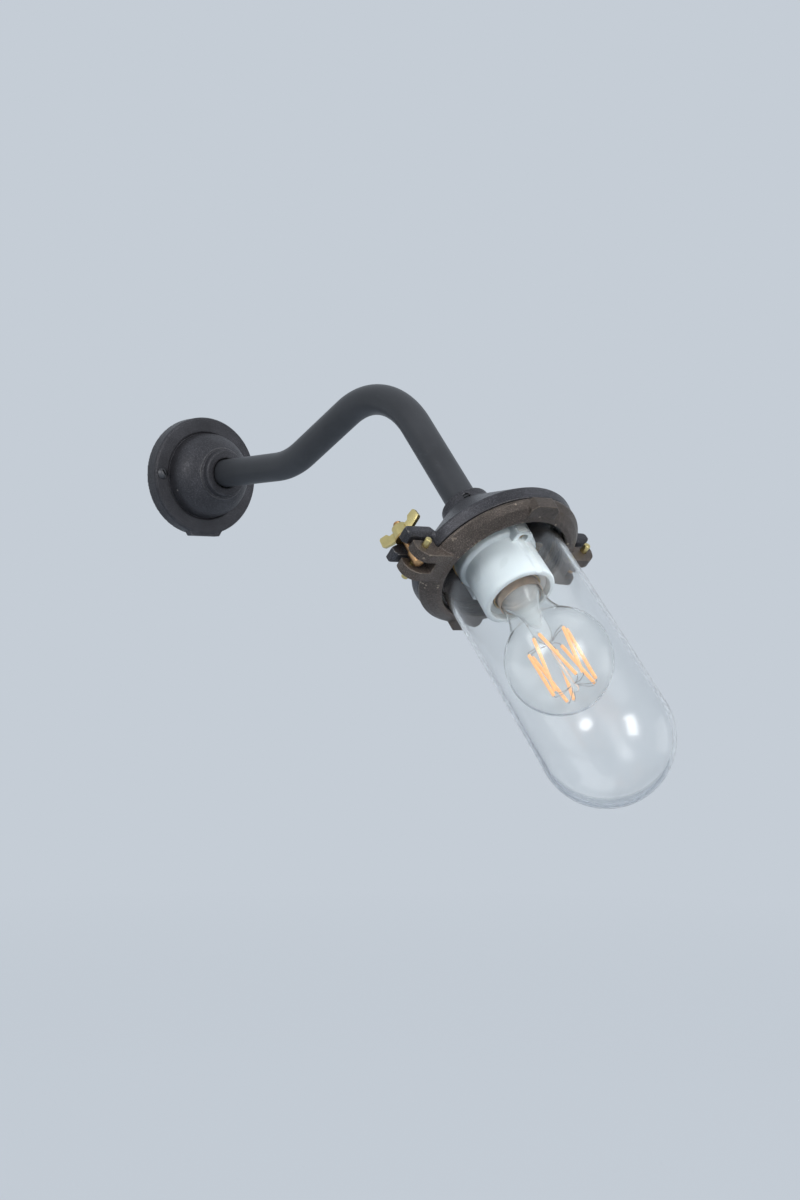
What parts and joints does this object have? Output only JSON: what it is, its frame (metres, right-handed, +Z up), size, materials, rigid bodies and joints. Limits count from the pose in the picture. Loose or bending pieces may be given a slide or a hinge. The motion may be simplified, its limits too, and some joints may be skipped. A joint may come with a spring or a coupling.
{
  "type": "bracket light",
  "caption": "Wall light: round cast plate, swan-neck tube and an angled cast cap that clamps a round-ended clear well glass over a screw bulb with swing bolts.",
  "frame": {"origin": "centre of the wall plate's back face, on the wall", "axes": "+X to the right facing the wall, +Y into the wall (the light stands out towards -Y), +Z up"},
  "size_m": [0.1348, 0.4557, 0.2466],
  "materials": {
    "cast_dark": "rough sand-cast, painted blue-black",
    "tube_paint": "satin",
    "ring_bronze": "rough cast, browned",
    "brass_bright": "polished, pale",
    "brass_dull": "satin",
    "zinc": "zinc plated",
    "steel_dark": "worn steel",
    "porcelain": "glazed",
    "block_plastic": "moulded",
    "brown_sheath": "satin",
    "blue_sheath": "satin",
    "earth_sheath": "satin, striped",
    "gasket_rubber": "matt",
    "clear_glass": "clear, polished",
    "bulb_clear": "clear, polished",
    "nickel": "satin",
    "black_glass": "glossy",
    "glow_filament": "glowing amber"
  },
  "bodies": {
    "fixed": {"wall_plate": "cast_dark", "wall_screws": "steel_dark", "neck_set_screw": "steel_dark", "swan_neck": "tube_paint", "neck_locknut": "zinc", "terminal_block": "block_plastic", "terminal_block_screw": "zinc", "terminal_sleeves": "brass_dull", "terminal_screws": "zinc", "earth_screw": "brass_dull", "live_lead": "brown_sheath", "neutral_lead": "blue_sheath", "earth_lead": "earth_sheath", "cap_casting": "cast_dark", "cap_set_screw": "steel_dark", "cap_locknut": "zinc", "cap_gasket": "gasket_rubber", "holder_bracket": "brass_dull", "bracket_screws": "brass_dull", "lampholder_body": "porcelain", "holder_screws": "brass_dull", "holder_shell": "brass_dull", "centre_contact": "brass_dull", "holder_terminals": "brass_dull"},
    "glass_unit": {"clamp_ring": "ring_bronze", "ring_gasket": "gasket_rubber", "well_glass": "clear_glass", "hinge_pins": "brass_dull"},
    "left_bolt": {"left_swing_bolt": "brass_dull"},
    "left_slider": {"left_washer": "brass_dull"},
    "left_nut": {"left_wing_nut": "brass_bright"},
    "right_bolt": {"right_swing_bolt": "brass_dull"},
    "right_slider": {"right_washer": "brass_dull"},
    "right_nut": {"right_wing_nut": "brass_bright"},
    "bulb_foot": {"bulb_contact": "nickel", "bulb_insulator": "black_glass"},
    "bulb": {"bulb_glass": "bulb_clear", "bulb_screw_cap": "nickel", "bulb_stem": "bulb_clear", "bulb_support_wires": "nickel", "bulb_filaments": "glow_filament"}
  },
  "joints": [
    {"name": "ring_sink", "type": "slide", "parent": "fixed", "child": "glass_unit", "axis": [0, -0.6704, -0.742], "range_m": [0, 0.005]},
    {"name": "left_bolt_swing", "type": "hinge", "parent": "glass_unit", "child": "left_bolt", "pos_m": [-0.059, -0.32455, -0.06895], "axis": [0, -0.742, 0.6704], "range_deg": [0, 110]},
    {"name": "left_nut_travel", "type": "slide", "parent": "left_bolt", "child": "left_slider", "axis": [0, 0.6704, 0.742], "range_m": [0, 0.00501]},
    {"name": "left_nut_spin", "type": "hinge", "parent": "left_slider", "child": "left_nut", "pos_m": [-0.059, -0.31047, -0.05337], "axis": [0, 0.6704, 0.742], "range_deg": [0, 2252]},
    {"name": "right_bolt_swing", "type": "hinge", "parent": "glass_unit", "child": "right_bolt", "pos_m": [0.059, -0.32455, -0.06895], "axis": [0, 0.742, -0.6704], "range_deg": [0, 110]},
    {"name": "right_nut_travel", "type": "slide", "parent": "right_bolt", "child": "right_slider", "axis": [0, 0.6704, 0.742], "range_m": [0, 0.00501]},
    {"name": "right_nut_spin", "type": "hinge", "parent": "right_slider", "child": "right_nut", "pos_m": [0.059, -0.31047, -0.05337], "axis": [0, 0.6704, 0.742], "range_deg": [0, 2252]},
    {"name": "bulb_travel", "type": "slide", "parent": "fixed", "child": "bulb_foot", "axis": [0, -0.6704, -0.742], "range_m": [0, 0.025]},
    {"name": "bulb_spin", "type": "hinge", "parent": "bulb_foot", "child": "bulb", "pos_m": [0, -0.34399, -0.09047], "axis": [0, -0.6704, -0.742], "range_deg": [0, 2482]}
  ],
  "couplings": [
    {"joint": "left_nut_travel", "follows": "ring_sink", "ratio": 1},
    {"joint": "right_nut_travel", "follows": "ring_sink", "ratio": 1},
    {"joint": "left_nut_spin", "follows": "ring_sink", "rad_per_m": 7854},
    {"joint": "right_nut_spin", "follows": "ring_sink", "rad_per_m": 7854},
    {"joint": "bulb_spin", "follows": "bulb_travel", "rad_per_m": 1731.4}
  ]
}
